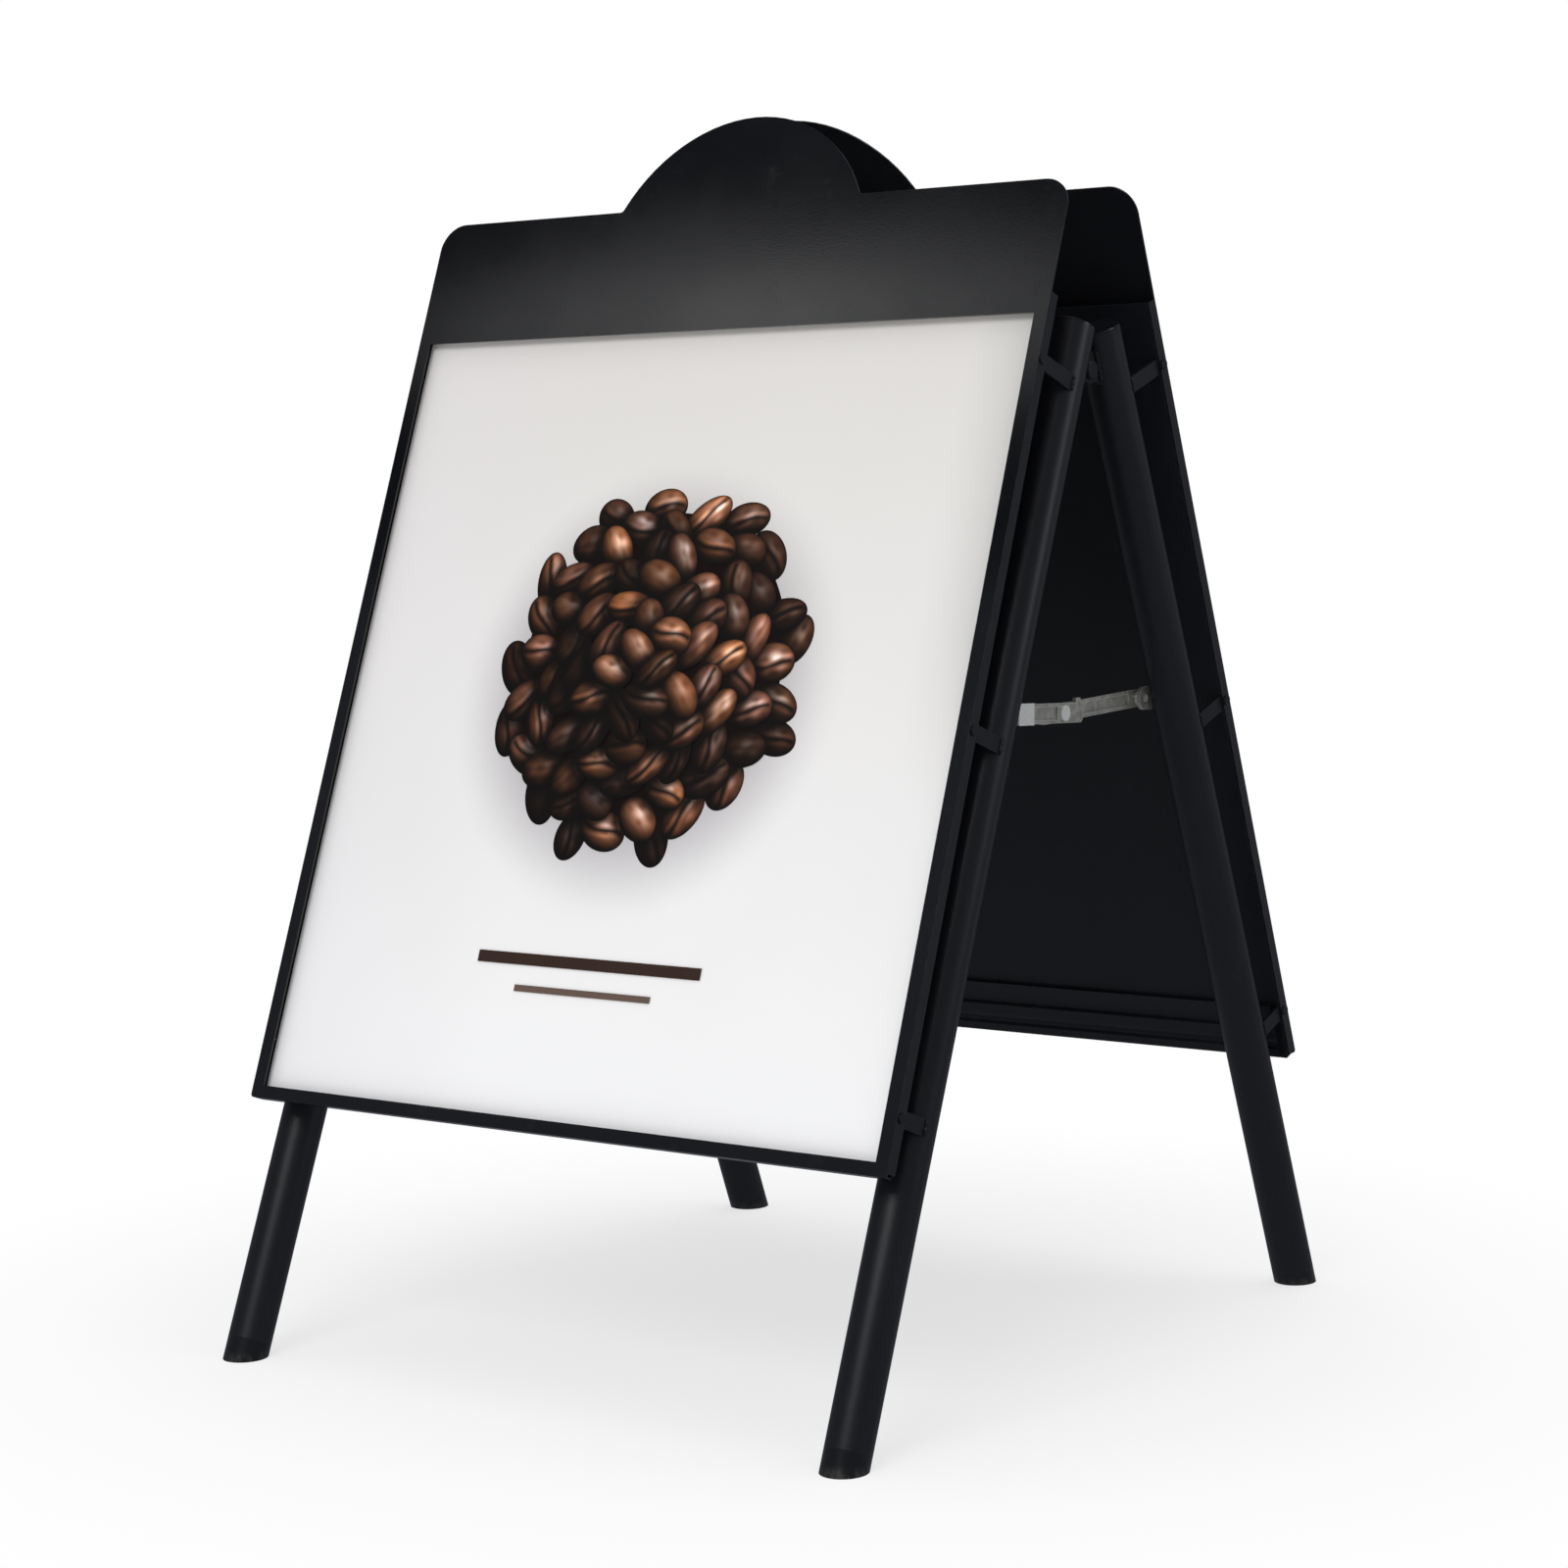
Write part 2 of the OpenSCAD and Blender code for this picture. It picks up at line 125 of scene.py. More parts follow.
def powder_coat(name, base, rough, specular, seed, streak=(1, 1, 1), worn=0.6):
    """Black powder coat: fine orange peel, cloudy sheen, faint scuffs and paler worn edges."""
    g = Graph(name)
    peel = g.noise(620, 2.0, 0.5, seed=seed)
    clouds = g.noise(7.5, 4.0, 0.6, stretch=streak, seed=seed + 1.7)
    scuff = g.remap(g.noise(38, 6.0, 0.7, stretch=streak, seed=seed + 5.1), 0.6, 0.78)
    grit = g.remap(g.noise(1500, 1.0, 0.4, seed=seed + 9.0), 0.64, 0.74)
    edges = g.math("MULTIPLY", g.edge(0.0007), g.remap(g.noise(95, 4.0, 0.7, seed=seed + 3.3), 0.4, 0.62))
    tint = g.mix(clouds, base, tuple(1.7 * c for c in base[:3]) + (1,))
    tint = g.mix(g.math("MULTIPLY", scuff, 0.22), tint, rgb("26272a"))
    tint = g.mix(g.math("MULTIPLY", grit, 0.2), tint, rgb("38393c"))
    tint = g.mix(g.math("MULTIPLY", edges, worn), tint, rgb("55565a"))
    sheen = g.remap(clouds, 0.3, 0.72, rough - 0.04, rough + 0.06)
    sheen = g.math("ADD", sheen, g.math("MULTIPLY", scuff, 0.1))
    normal = g.bump(peel, 0.00022, 0.26)
    return g.finish(Base_Color=tint, Roughness=sheen, Normal=normal, Specular_IOR_Level=specular)


def moulded_plastic(name):
    """Glossy black moulded feet and caps, scuffed where they meet the ground."""
    g = Graph(name)
    height = g.add("SeparateXYZ", {0: g.coord}).outputs["Z"]
    low = g.remap(height, 0.0005, 0.009, 1.0, 0.0, "SMOOTHSTEP")
    scuff = g.math("MULTIPLY", low, g.remap(g.noise(130, 6.0, 0.75, stretch=(1, 1, 0.35)), 0.42, 0.66))
    clouds = g.noise(30, 3.0)
    tint = g.mix(clouds, rgb("0b0c0f"), rgb("15161a"))
    tint = g.mix(g.math("MULTIPLY", scuff, 0.4), tint, rgb("4c4a47"))
    sheen = g.math("ADD", g.remap(clouds, 0.3, 0.7, 0.16, 0.26), g.math("MULTIPLY", scuff, 0.4))
    normal = g.bump(g.noise(900, 2.0), 0.0001, 0.2, g.bump(scuff, 0.0003, 0.4))
    return g.finish(Base_Color=tint, Roughness=sheen, Normal=normal, Specular_IOR_Level=0.4)


def galvanised(name):
    """Dull galvanised strip: spangle, rolled streaks, dark handling marks, brighter edges."""
    g = Graph(name)
    cells = g.add("TexVoronoi", {"Vector": g.coord, "Scale": 230.0}).outputs["Color"]
    spangle = g.add("SeparateColor", {0: cells}).outputs[0]
    streak = g.noise(90, 5.0, 0.65, stretch=(1, 0.06, 1.6), seed=2.0)
    grime = g.remap(g.noise(42, 5.0, 0.65, seed=4.0), 0.45, 0.75)
    tint = g.mix(g.remap(spangle, 0, 1, 0.1, 0.9), rgb("9c9b94"), rgb("c8c7be"))
    tint = g.mix(g.math("MULTIPLY", streak, 0.5), tint, rgb("7b7b76"))
    tint = g.mix(g.math("MULTIPLY", grime, 0.6), tint, rgb("444444"))
    tint = g.mix(g.math("MULTIPLY", g.edge(0.0009), 0.85), tint, rgb("f0f0ec"))
    sheen = g.remap(streak, 0.3, 0.7, 0.3, 0.5)
    normal = g.bump(streak, 0.0003, 0.3, g.bump(spangle, 0.0002, 0.15))
    return g.finish(Base_Color=tint, Metallic=0.7, Roughness=sheen, Normal=normal)


def bright_zinc(name):
    """Zinc-plated fasteners: bright, faintly blue and yellow, with turned marks."""
    g = Graph(name)
    hue = g.noise(160, 3.0, 0.6)
    marks = g.noise(700, 3.0, 0.6, stretch=(0.2, 1, 1), seed=3.0)
    spots = g.remap(g.noise(210, 5.0, 0.7, seed=6.0), 0.6, 0.75)
    tint = g.mix(hue, rgb("f2f6f8"), rgb("f6f4ec"))
    tint = g.mix(g.math("MULTIPLY", spots, 0.6), tint, rgb("6f6a62"))
    sheen = g.math("ADD", g.remap(marks, 0.3, 0.7, 0.16, 0.3), g.math("MULTIPLY", spots, 0.3))
    return g.finish(Base_Color=tint, Metallic=0.7, Roughness=sheen, Normal=g.bump(marks, 0.0002, 0.25))


def printed_sheet(name, place):
    """Matt printed card: a pale gradient, painted shade along the upper right edge, a soft shadow under the
    heap, and a fine paper tooth.
    """
    g = Graph(name)
    x = g.math("MULTIPLY", g.along(place.right), 1 / MM)
    s = g.math("MULTIPLY", g.math("SUBTRACT", g.along(place.up), place.base.dot(place.up)), 1 / MM)
    half, tall = place.wide / 2, place.tall
    tint = g.mix(g.remap(s, 0.06 * tall, 0.95 * tall), rgb("f8f8f9"), rgb("dddad6"))
    left = g.remap(x, -half, -0.2 * half, 1.0, 0.0, "SMOOTHSTEP")
    tint = g.mix(g.math("MULTIPLY", left, 0.3), tint, rgb("e4e1e6"))
    # painted shade: the upper part of the sheet's right edge is darkened towards grey
    upper = g.remap(s, 0.36 * tall, 0.66 * tall, 0.0, 1.0, "SMOOTHSTEP")
    corner = g.math("MULTIPLY", g.remap(x, 0.78 * half, half, 0.0, 1.0, "SMOOTHSTEP"), upper)
    tint = g.mix(g.math("MULTIPLY", corner, 0.5), tint, rgb("b9b9b6"))
    middle, reach = place.heap()
    under = g.math("SUBTRACT", s, middle - 0.1 * reach)
    flat = g.add("CombineXYZ", {0: g.math("DIVIDE", x, reach), 1: g.math("DIVIDE", under, reach)}).outputs[0]
    far = g.add("VectorMath", {0: flat}, operation="LENGTH").outputs["Value"]
    shadow = g.remap(far, 1.35, 0.8, 0.0, 0.55, "SMOOTHSTEP")
    tint = g.mix(shadow, tint, rgb("8d8690"), "MULTIPLY")
    tint = g.mix(g.remap(g.noise(9, 3.0, 0.5), 0.35, 0.7, 0.0, 0.05), tint, rgb("cfcbc8"))
    tooth = g.noise(1300, 3.0, 0.6)
    wave = g.noise(5, 1.0, 0.4)
    normal = g.bump(tooth, 0.0001, 0.12, g.bump(wave, 0.004, 0.25))
    return g.finish(Base_Color=tint, Roughness=g.remap(tooth, 0.3, 0.7, 0.42, 0.55),
                    Normal=normal, Specular_IOR_Level=0.3)


def ink(name):
    """Printed ink: the colour computed for each point of the picture, with a fine press grain."""
    g = Graph(name)
    colour = g.add("Attribute", attribute_name="ink").outputs["Color"]
    grain = g.noise(1500, 2.0, 0.6)
    tint = g.mix(g.remap(grain, 0.3, 0.7, 0.0, 0.16), colour, rgb("30221c"))
    return g.finish(Base_Color=tint, Roughness=g.remap(grain, 0.3, 0.7, 0.4, 0.52),
                    Normal=g.bump(grain, 0.0001, 0.1), Specular_IOR_Level=0.12)


def studio_floor(name):
    """Pale matt floor that fades into the white background."""
    g = Graph(name)
    tint = g.mix(g.noise(1.3, 4.0), rgb("f2f2f3"), rgb("f8f8f8"))
    normal = g.bump(g.noise(240, 3.0), 0.0004, 0.1)
    ins = {"Base Color": tint, "Roughness": 0.75, "Normal": normal, "Specular IOR Level": 0.1}
    matt = g.add("BsdfPrincipled", ins)
    away = g.add("VectorMath", {0: g.coord}, operation="LENGTH").outputs["Value"]
    white = g.add("Emission", {"Color": (1, 1, 1, 1), "Strength": 1.0})
    fade = g.remap(away, 0.3, 0.9, 0.65, 1.0, "SMOOTHSTEP")
    both = g.add("MixShader", {0: fade, 1: matt.outputs[0], 2: white.outputs[0]})
    g.add("OutputMaterial", {"Surface": both.outputs[0]})
    return g.mat


# ---------------------------------------------------------------- where things are

HEAP_HEIGHT, HEAP_RADIUS = 0.56, 0.235  # shares of the sheet's height and width


def points(node):
    """The mesh points of a CAD node."""
    mesh = NODES[node].data
    co = np.zeros(len(mesh.vertices) * 3)
    mesh.vertices.foreach_get("co", co)
    return co.reshape(-1, 3)


class Sheet:
    """A display sheet's own frame, from its mesh: x to the viewer's right from the middle and s up from
    the lower edge, both in mm."""

    def __init__(self, end):
        co = points(end + "_insert")
        flat = co[:, 1:]
        middle = flat.mean(0)
        up = np.linalg.svd(flat - middle)[2][0]
        up = up if up[1] > 0 else -up
        away = -1 if end == "front" else 1
        out = np.array([up[1], -up[0]])
        out = out if out[0] * away > 0 else -out
        rel = flat - middle
        corner = middle + (rel @ up).min() * up + (rel @ out).max() * out
        self.right = Vector((-away, 0, 0))
        self.up = Vector((0, up[0], up[1]))
        self.out = Vector((0, out[0], out[1]))
        self.base = Vector((0, corner[0], corner[1]))
        self.wide = np.ptp(co[:, 0]) / MM
        self.tall = np.ptp(rel @ up) / MM

    def heap(self):
        """Height of the middle and radius of the picture's round heap."""
        return HEAP_HEIGHT * self.tall, HEAP_RADIUS * self.wide

    def world(self, x, s, lift):
        """Points of the picture, given in mm, in the row frame."""
        x, s, lift = (MM * a[:, None] for a in np.broadcast_arrays(x, s, lift))
        right, up, out = np.array(self.right), np.array(self.up), np.array(self.out)
        return np.array(self.base) + x * right + s * up + lift * out


class Leg:
    """A leg tube's axis, taken from its mesh."""

    def __init__(self, node):
        co = points(node)
        self.middle = co.mean(0)
        self.axis = np.linalg.svd(co - self.middle, full_matrices=False)[2][0]
        self.axis = self.axis if self.axis[2] > 0 else -self.axis
        rel = co - self.middle
        self.radius = np.linalg.norm(rel - np.outer(rel @ self.axis, self.axis), axis=1).max()

    def split(self, co):
        """Height along the axis, and the part square to it, of each point."""
        rel = co - self.middle
        along = rel @ self.axis
        return along, rel - np.outer(along, self.axis)


# ---------------------------------------------------------------- the picture

PICTURE_SEED = 20
LIGHT = np.array([0.34, 0.62, 0.71])  # towards the painted light: right, up, out of the sheet
BEANS, BEAN_CELLS = 84, (20, 24)
BEAN_LONG, BEAN_SHORT, BEAN_JITTER = (19, 24), (13, 16), 4  # half sizes and placing, mm
SHADE_SHIFT, SHADE_GROW = (-3.0, -1.5), 2  # how far a bean's painted shadow falls and spreads, mm
GOLDEN_ANGLE = math.pi * (3 - math.sqrt(5))
FIRST_LIFT, LAYER_LIFT = 0.06, 0.009  # mm above the sheet
BARS = (  # height and width as shares of the sheet's, thickness in mm, colour
    (0.2, 0.36, 9.0, "3a2a24"),
    (0.165, 0.22, 5.0, "6a584f"))


def disc_patch(cx, cs, rx, rs, turn, cells):
    """A grid of cells[0] by cells[1] faces bent into an ellipse. Returns picture points and unit points."""
    p, q = np.meshgrid(np.linspace(-1, 1, cells[0] + 1), np.linspace(-1, 1, cells[1] + 1), indexing="ij")
    u, v = (p * np.sqrt(1 - q * q / 2)).ravel(), (q * np.sqrt(1 - p * p / 2)).ravel()
    c, k = math.cos(turn), math.sin(turn)
    x, s = rx * u, rs * v
    return cx + c * x - k * s, cs + k * x + c * s, u, v


def grid_faces(cells, start):
    """The faces of a grid of cells[0] by cells[1], whose first point has the number start."""
    i, j = np.meshgrid(np.arange(cells[0]), np.arange(cells[1]), indexing="ij")
    a = (start + i * (cells[1] + 1) + j).ravel()
    step = cells[1] + 1
    return np.stack([a, a + step, a + step + 1, a + 1], 1)


def ripple(u, v, phase):
    """Uneven roasting over a bean, about -1 to 1."""
    return (np.sin(5.1 * u + 3.7 * v + phase) * np.sin(7.3 * v - 4.1 * u + 2 * phase)
            + 0.3 * np.sin(9 * u + 5 * v + 3 * phase)) / 1.3


def bean_colour(u, v, bean):
    """Shading of one coffee bean over its unit disc."""
    w = np.sqrt(np.clip(1 - u * u - v * v, 0, 1))  # height of the bean's round surface
    blotch = ripple(u, v, bean["phase"])
    nx, ny, nz = u * bean["rs"] / bean["rx"], v + 0.12 * blotch, 0.85 * w + 0.06
    size = np.sqrt(nx * nx + ny * ny + nz * nz)
    nx, ny, nz = nx / size, ny / size, nz / size
    c, k = math.cos(bean["turn"]), math.sin(bean["turn"])
    wx, wy = c * nx - k * ny, k * nx + c * ny
    lit = np.clip(0.3 + 0.7 * (wx * LIGHT[0] + wy * LIGHT[1] + nz * LIGHT[2]), 0, 1) ** 2.6
    half = LIGHT + np.array([0, 0, 1])
    half = half / np.linalg.norm(half)
    shine = np.clip(wx * half[0] + wy * half[1] + nz * half[2], 0, 1)
    gloss = (0.16 * shine ** 9 + 0.3 * shine ** 46) * np.clip(0.75 + 0.8 * blotch, 0.1, 1.6)
    rim = 0.06 + 0.94 * w ** 0.9
    lines = 1 + 0.09 * np.sin(17 * v + 2.2 * np.sin(3.1 * u + bean["phase"]) + bean["phase"])
    colour = np.outer(lit * rim * lines * (1 + 0.35 * blotch) * bean["tone"], bean["brown"])
    if bean["faced"]:  # the flat side, with a dark groove between two paler lips
        gap = v - (0.17 * np.sin(2.6 * u + bean["bend"]) + bean["shift"])
        ends = np.clip((0.93 - np.abs(u)) / 0.12, 0, 1)
        groove = np.exp(-(gap / 0.12) ** 2) * ends
        lip = np.exp(-((np.abs(gap) - 0.27) / 0.1) ** 2) * ends
        colour = colour * (1 + 0.8 * lip)[:, None] * (1 - 0.96 * groove)[:, None]
        gloss = gloss * (1 - groove) * (1 + 0.5 * lip)
    return colour + np.outer(gloss * bean["tone"] * bean["sheen"] * rim, bean["glint"])


def dress(b, rng):
    """A bean's roast, gloss and which side of it shows."""
    b["faced"] = bool(rng.random() < 0.68)
    b["tone"] = 0.13 + 1.5 * rng.random() ** 1.5
    b["sheen"] = rng.uniform(0.5, 3.0)
    b["phase"] = rng.uniform(0, 6.28)
    b["bend"] = rng.uniform(-0.8, 0.8)
    b["shift"] = rng.uniform(-0.16, 0.16)
    warm = rng.uniform(0, 1)
    b["brown"] = (0.32 + 0.17 * warm, 0.112 + 0.05 * warm, 0.06 - 0.014 * warm)
    b["glint"] = (0.9, 0.72 + 0.12 * (1 - warm), 0.58 + 0.26 * (1 - warm))


def heap(rng, middle, reach):
    """Beans packed evenly in a round patch, from its rim inwards, so that the inner ones lie on top."""
    beans = []
    for i in reversed(range(BEANS)):
        far = reach * math.sqrt((i + 0.5) / BEANS)
        angle = i * GOLDEN_ANGLE
        bean = {
            "x": far * math.cos(angle) + rng.uniform(-BEAN_JITTER, BEAN_JITTER),
            "s": middle + far * math.sin(angle) + rng.uniform(-BEAN_JITTER, BEAN_JITTER),
            "rx": rng.uniform(*BEAN_LONG), "rs": rng.uniform(*BEAN_SHORT), "turn": rng.uniform(0, math.pi)}
        dress(bean, rng)
        beans.append(bean)
    return beans


class Picture:
    """Flat coloured shapes, each a hair above the last, gathered into one printed mesh."""

    def __init__(self):
        self.x, self.s, self.lift, self.colour, self.faces, self.n = [], [], [], [], [], 0

    def put(self, x, s, colour, cells):
        """Add a grid of points with one colour for each point, or one for all."""
        self.lift.append(np.full(len(x), FIRST_LIFT + LAYER_LIFT * len(self.x)))
        self.x.append(x)
        self.s.append(s)
        self.colour.append(np.clip(np.broadcast_to(colour, (len(x), 3)), 0, 1))
        self.faces += grid_faces(cells, self.n).tolist()
        self.n += len(x)

    def disc(self, x, s, radius, colour, cells=(40, 40)):
        xs, ss, _, _ = disc_patch(x, s, radius, radius, 0.0, cells)
        self.put(xs, ss, colour[:3], cells)

    def bar(self, x, s, wide, thick, colour):
        ends = np.array([-0.5, 0.5])
        xs, ss = np.meshgrid(x + wide * ends, s + thick * ends, indexing="ij")
        self.put(xs.ravel(), ss.ravel(), colour[:3], (1, 1))


def shade_under(bean, x, s):
    """Light left by a bean at points under and beside it, 0 to 1."""
    c, k = math.cos(bean["turn"]), math.sin(bean["turn"])
    dx, ds = x - (bean["x"] + SHADE_SHIFT[0]), s - (bean["s"] + SHADE_SHIFT[1])
    long, short = (c * dx + k * ds) / (bean["rx"] + SHADE_GROW), (c * ds - k * dx) / (bean["rs"] + SHADE_GROW)
    far = np.hypot(long, short)
    return 0.06 + 0.94 * np.clip((far - 0.95) / 0.62, 0, 1)


def draw(picture, place):
    """A plain print with a layout of its own: a round heap of coffee beans over two bars."""
    middle, reach = place.heap()
    picture.disc(0.0, middle, 0.9 * reach, rgb("120a08"))
    beans = heap(np.random.default_rng(PICTURE_SEED), middle, reach)
    for i, bean in enumerate(beans):
        x, s, u, v = disc_patch(bean["x"], bean["s"], bean["rx"], bean["rs"], bean["turn"], BEAN_CELLS)
        colour = bean_colour(u, v, bean)
        for above in beans[i + 1:]:
            colour *= shade_under(above, x, s)[:, None]
        picture.put(x, s, colour + 0.004, BEAN_CELLS)
    for height, wide, thick, colour in BARS:
        picture.bar(0.0, height * place.tall, wide * place.wide, thick, rgb(colour))


def print_on(end, material):
    """The same picture on each display sheet."""
    place = Sheet(end)
    picture = Picture()
    draw(picture, place)
    co = place.world(np.concatenate(picture.x), np.concatenate(picture.s), np.concatenate(picture.lift))
    mesh = bpy.data.meshes.new(end + "_print")
    mesh.from_pydata(co.tolist(), [], picture.faces)
    attribute = mesh.color_attributes.new("ink", "FLOAT_COLOR", "POINT")
    colour = np.concatenate(picture.colour)
    rgba = np.hstack([colour, np.ones((len(colour), 1))]).astype(np.float32)
    attribute.data.foreach_set("color", rgba.ravel())
    mesh.materials.append(material)
    mesh.validate()
    mesh.update()
    piece = bpy.data.objects.new(end + "_print", mesh)
    bpy.context.scene.collection.objects.link(piece)
    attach(piece, end + "_sheet")


# ---------------------------------------------------------------- weld beads

WELDS = (("straps", "strap_welds", 0.0013), ("lug", "lug_weld", 0.0018), ("bracket", "bracket_weld", 0.0014))
ON_TUBE = 0.0004  # a plate point this near the tube's surface lies on the seam
ON_FACE = 0.0003  # and one this near a plate's face in x lies on that face
PLATE_GAP = 0.03  # points further apart than this along the tube are on different plates
SHORTEST_SEAM = 0.004
BEAD_STEP, BEAD_POINTS = 0.0007, 14  # spacing of a bead's rings, and the fewest it has
BEAD_SIDES = 10


def bead(verts, faces, path, radius, phase):
    """A rippled weld bead swept along a path of points."""
    tangent = np.gradient(path, axis=0)
    tangent /= np.linalg.norm(tangent, axis=1)[:, None]
    side = np.cross(tangent, np.array([0.3, 0.5, 0.81]))  # any direction no seam runs along
    side /= np.linalg.norm(side, axis=1)[:, None]
    other = np.cross(tangent, side)
    ring, count, start = BEAD_SIDES, len(path), len(verts)
    share = np.linspace(0, 1, count)
    size = radius * np.sqrt(np.clip(np.sin(math.pi * np.clip(share, 0.02, 0.98)) * 2.4, 0, 1))
    size *= 1 + 0.13 * np.sin(share * count * 0.9 + phase)
    for i in range(count):
        for j in range(ring):
            a = 2 * math.pi * j / ring
            verts.append(tuple(path[i] + size[i] * (math.cos(a) * side[i] + math.sin(a) * other[i])))
    for i in range(count - 1):
        for j in range(ring):
            a, b = start + i * ring + j, start + i * ring + (j + 1) % ring
            faces.append((a, b, b + ring, a + ring))
    faces.append(tuple(start + j for j in reversed(range(ring))))
    faces.append(tuple(start + (count - 1) * ring + j for j in range(ring)))


def seams(plates, tube):
    """The two ends of each seam where plates, welded edge on, meet a tube, and the seam's side in x."""
    co = points(plates)
    along, square = tube.split(co)
    near = np.abs(np.linalg.norm(square, axis=1) - tube.radius) < ON_TUBE
    co, along = co[near], along[near]
    order = np.argsort(along)
    for group in np.split(order, np.nonzero(np.diff(along[order]) > PLATE_GAP)[0] + 1):
        xs = co[group][:, 0]
        for face_x, sign in ((xs.min(), -1), (xs.max(), 1)):
            pick = group[np.abs(xs - face_x) < ON_FACE]
            lo, hi = co[pick][np.argmin(along[pick])], co[pick][np.argmax(along[pick])]
            if np.linalg.norm(hi - lo) >= SHORTEST_SEAM:
                yield lo, hi, sign


def welds_for(plates, leg, name, body, material, radius):
    """Beads along both faces of each plate of a node, where it meets a leg tube."""
    verts, faces = [], []
    for lo, hi, sign in seams(plates, Leg(leg)):
        count = max(BEAD_POINTS, int(np.linalg.norm(hi - lo) / BEAD_STEP))
        path = lo + (hi - lo) * np.linspace(0.0, 1.0, count)[:, None]
        path[:, 0] += sign * radius / 4
        bead(verts, faces, path, radius, BEAD_RNG.uniform(0, 6))
    mesh = bpy.data.meshes.new(name)
    mesh.from_pydata(verts, [], faces)
    for polygon in mesh.polygons:
        polygon.use_smooth = True
    mesh.materials.append(material)
    mesh.validate()
    piece = bpy.data.objects.new(name, mesh)
    bpy.context.scene.collection.objects.link(piece)
    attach(piece, body)


# ---------------------------------------------------------------- build

LOOKS = {
    "leg_paint": powder_coat("leg_paint_look", rgb("0d0e13"), 0.36, 0.42, 1.0, streak=(1, 1, 0.12), worn=0.2),
    "panel_paint": powder_coat("panel_paint_look", rgb("0b0c0f"), 0.19, 0.5, 11.0, worn=0.3),
    "inner_paint": powder_coat("inner_paint_look", rgb("0c0e13"), 0.42, 0.36, 21.0, worn=0.3),
    "hardware_paint": powder_coat("hardware_paint_look", rgb("0b0c10"), 0.38, 0.36, 31.0, worn=0.3),
    "foot_plastic": moulded_plastic("foot_plastic_look"),
    "galvanised": galvanised("galvanised_look"),
    "bright_steel": bright_zinc("bright_steel_look")}
SHEET_LOOKS = {end: printed_sheet(end + "_sheet_look", Sheet(end)) for end in ("front", "rear")}
INK = ink("print_ink_look")

for part in frame["record"]["subparts"]:
    name, slot = part["node"], part["material_slot"]
    look = LOOKS[slot] if slot in LOOKS else SHEET_LOOKS[name.split("_")[0]]
    for held in NODES[name].material_slots:
        held.material = look

for end in ("front", "rear"):
    print_on(end, INK)
    for side in ("right", "left"):
        for plates, kind, radius in WELDS:
            node, piece_name = "%s_%s_%s" % (end, plates, side), "%s_%s_%s" % (end, side, kind)
            leg = "%s_leg_%s" % (end, side)
            welds_for(node, leg, piece_name, end + "_frame", LOOKS["hardware_paint"], radius)

# ---------------------------------------------------------------- camera

# fitted so that the board is seen as in the photograph
EYE = Vector((1.565, -2.1434, 0.6575))
YAW, PITCH, ROLL = (math.radians(a) for a in (36.08, 4.89, -0.92))
LENS, SENSOR = 77.107, 36.0  # mm
ahead = Vector((-math.sin(YAW) * math.cos(PITCH), math.cos(YAW) * math.cos(PITCH), -math.sin(PITCH)))
level = Vector((math.cos(YAW), math.sin(YAW), 0))
over = level.cross(ahead)
right = level * math.cos(ROLL) + over * math.sin(ROLL)
over = over * math.cos(ROLL) - level * math.sin(ROLL)
view = Matrix((right, over, -ahead)).transposed().to_4x4()
view.translation = EYE
lens = bpy.data.cameras.new("camera")
lens.sensor_width = SENSOR
lens.lens = LENS
lens.clip_end = 100
camera = bpy.data.objects.new("camera", lens)
camera.matrix_world = view
bpy.context.scene.collection.objects.link(camera)
bpy.context.scene.camera = camera

# ---------------------------------------------------------------- stage and light


def area(name, where, aim, size, power, tint=(1, 1, 1)):
    """A rectangular lamp."""
    data = bpy.data.lights.new(name, "AREA")
    data.shape, data.size, data.size_y = "RECTANGLE", size[0], size[1]
    data.energy, data.color = power, tint
    lamp = bpy.data.objects.new(name, data)
    lamp.matrix_world = aim_at(where, aim)
    bpy.context.scene.collection.objects.link(lamp)


def aim_at(where, aim):
    """The placing of a lamp that stands at one point and shines at another."""
    where, aim = Vector(where), Vector(aim)
    turn = (aim - where).to_track_quat("-Z", "Y").to_matrix().to_4x4()
    turn.translation = where
    return turn


def stage_floor():
    """A wide level disc."""
    verts, faces = [(0, 0, 0)], []
    rings, ring = [1.5, 4.0, 9.0, 18.0, 40.0], 64
    for r in rings:
        angles = [2 * math.pi * j / ring for j in range(ring)]
        verts += [(r * math.cos(a), r * math.sin(a), 0) for a in angles]
    faces += [(0, 1 + j, 1 + (j + 1) % ring) for j in range(ring)]
    for i in range(len(rings) - 1):
        for j in range(ring):
            a, b = 1 + i * ring + j, 1 + i * ring + (j + 1) % ring
            faces.append((a, a + ring, b + ring, b))
    mesh = bpy.data.meshes.new("floor")
    mesh.from_pydata(verts, [], faces)
    mesh.materials.append(studio_floor("floor_look"))
    floor = bpy.data.objects.new("floor", mesh)
    bpy.context.scene.collection.objects.link(floor)
    floor.visible_glossy = False


CARD_SPOT = (0.05, 0.626)  # the sheen's middle on the header, right of the sheet's middle and above its foot
CARD_AWAY, CARD_HALF, CARD_CELLS = 0.6, (0.85, 0.25), 24
GLOW_HALF, GLOW = (0.62, 0.125), 1.7


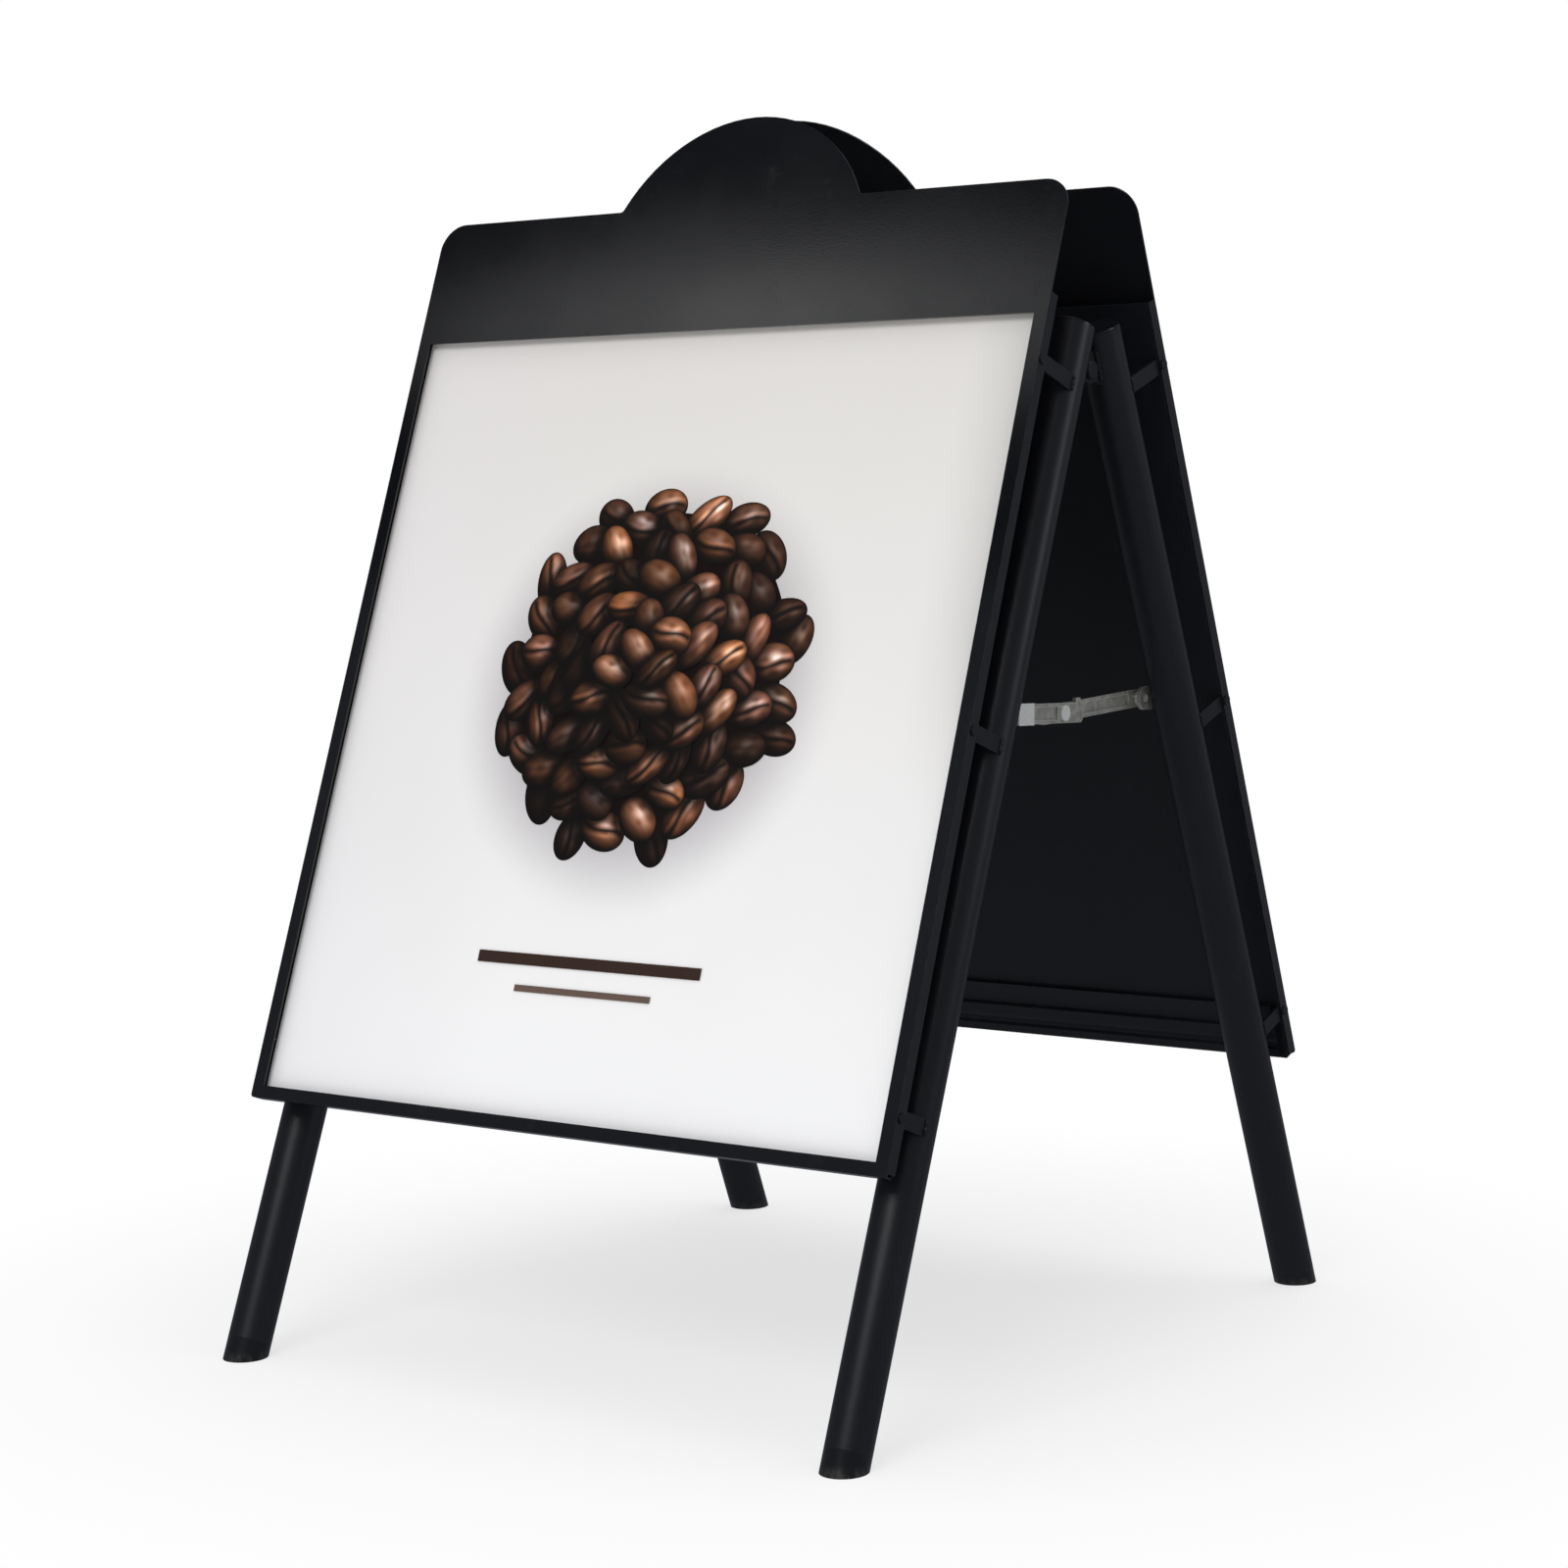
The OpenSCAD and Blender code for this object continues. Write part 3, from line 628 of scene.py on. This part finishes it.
def header_card():
    """A soft glowing card that the header mirrors as a low, wide sheen."""
    place = Sheet("front")
    spot = place.base + CARD_SPOT[0] * place.right + CARD_SPOT[1] * place.up
    ray = (spot - EYE).normalized()
    bounce = ray - 2 * ray.dot(place.out) * place.out
    mesh = bpy.data.meshes.new("card")
    share = np.linspace(-1, 1, CARD_CELLS + 1)
    p, q = np.meshgrid(CARD_HALF[0] * share, CARD_HALF[1] * share, indexing="ij")
    verts = np.stack([p.ravel(), q.ravel(), np.zeros(p.size)], 1)
    mesh.from_pydata(verts.tolist(), [], grid_faces((CARD_CELLS, CARD_CELLS), 0).tolist())
    g = Graph("card_look")
    ins = {0: g.coord, 1: (1 / GLOW_HALF[0], 1 / GLOW_HALF[1], 0)}
    scaled = g.add("VectorMath", ins, operation="MULTIPLY").outputs[0]
    far = g.add("VectorMath", {0: scaled}, operation="LENGTH").outputs["Value"]
    glow = g.add("Emission", {"Strength": g.remap(far, 1.0, 0.0, 0.0, GLOW, "SMOOTHSTEP")})
    g.add("OutputMaterial", {"Surface": glow.outputs[0]})
    mesh.materials.append(g.mat)
    card = bpy.data.objects.new("card", mesh)
    level = Matrix((place.right, place.up, place.out)).transposed().to_4x4()
    level.translation = spot + CARD_AWAY * bounce
    card.matrix_world = level
    card.visible_camera = False
    card.visible_shadow = False
    card.visible_diffuse = False
    bpy.context.scene.collection.objects.link(card)


SOFT, DIM, WHITE = (0.5, 0.5025, 0.51, 1), (0.15, 0.157, 0.177, 1), (1, 1, 1, 1)  # matt, mirrored, seen


def studio_world():
    """White to the eye, even and soft on matt surfaces, and dim in reflections."""
    world = bpy.data.worlds.new("studio")
    bpy.context.scene.world = world
    world.use_nodes = True
    tree = world.node_tree
    tree.nodes.clear()
    path = tree.nodes.new("ShaderNodeLightPath")
    parts = []
    for colour in (SOFT, DIM, WHITE):
        node = tree.nodes.new("ShaderNodeBackground")
        node.inputs[0].default_value = colour
        parts.append(node)
    first = tree.nodes.new("ShaderNodeMixShader")
    second = tree.nodes.new("ShaderNodeMixShader")
    out = tree.nodes.new("ShaderNodeOutputWorld")
    tree.links.new(path.outputs["Is Glossy Ray"], first.inputs[0])
    tree.links.new(parts[0].outputs[0], first.inputs[1])
    tree.links.new(parts[1].outputs[0], first.inputs[2])
    tree.links.new(path.outputs["Is Camera Ray"], second.inputs[0])
    tree.links.new(first.outputs[0], second.inputs[1])
    tree.links.new(parts[2].outputs[0], second.inputs[2])
    tree.links.new(second.outputs[0], out.inputs[0])


stage_floor()
header_card()
studio_world()
area("key", (0.7, -3.7, 3.3), (0, 0, 0.45), (2.4, 1.6), 70)
area("side", (3.6, 1.6, 1.9), (0, 0, 0.5), (1.4, 2.2), 14, (0.93, 0.97, 1.0))
area("top", (0.3, 0.4, 4.2), (0, 0, 0), (3.2, 3.2), 50)
bpy.context.scene.view_settings.view_transform = "Standard"
